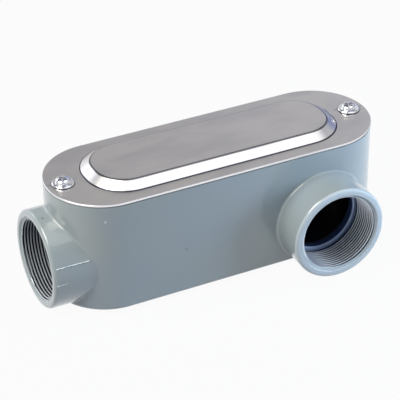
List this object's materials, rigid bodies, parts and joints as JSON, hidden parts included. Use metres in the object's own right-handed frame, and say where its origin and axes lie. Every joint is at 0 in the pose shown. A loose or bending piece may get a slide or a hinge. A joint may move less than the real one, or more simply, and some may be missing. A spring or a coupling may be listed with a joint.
{
  "type": "conduit body",
  "caption": "Side-outlet angle conduit body: obround enamelled casting with threaded hubs at the end and the side, and a stamped cover with a raised panel, held by screws.",
  "frame": {"origin": "middle of the casting's flat back, midway between its ends and its sides", "axes": "+X along the body away from the end hub, -Y out of the side hub, +Z from the back to the cover"},
  "size_m": [0.26, 0.1098, 0.0962],
  "materials": {
    "enamel": "gloss",
    "sheet_metal": "satin",
    "bright_plating": "polished",
    "gasket_rubber": "matte"
  },
  "bodies": {
    "housing": {"housing": "enamel", "gasket": "gasket_rubber", "cover": "sheet_metal"},
    "hub_end_washer": {"hub_end_washer": "bright_plating"},
    "hub_end_screw": {"hub_end_screw": "bright_plating"},
    "closed_end_washer": {"closed_end_washer": "bright_plating"},
    "closed_end_screw": {"closed_end_screw": "bright_plating"}
  },
  "joints": [
    {"name": "hub_end_washer_rise", "type": "slide", "parent": "housing", "child": "hub_end_washer", "axis": [0, 0, 1], "range_m": [0, 0.00847]},
    {"name": "hub_end_screw_turn", "type": "hinge", "parent": "hub_end_washer", "child": "hub_end_screw", "pos_m": [-0.1122, 0, 0.0882], "axis": [0, 0, 1], "range_deg": [0, 2880]},
    {"name": "closed_end_washer_rise", "type": "slide", "parent": "housing", "child": "closed_end_washer", "axis": [0, 0, 1], "range_m": [0, 0.00847]},
    {"name": "closed_end_screw_turn", "type": "hinge", "parent": "closed_end_washer", "child": "closed_end_screw", "pos_m": [0.1122, 0, 0.0882], "axis": [0, 0, 1], "range_deg": [0, 2880]}
  ],
  "couplings": [
    {"joint": "hub_end_screw_turn", "follows": "hub_end_washer_rise", "rad_per_m": 5936.9},
    {"joint": "closed_end_screw_turn", "follows": "closed_end_washer_rise", "rad_per_m": 5936.9}
  ]
}
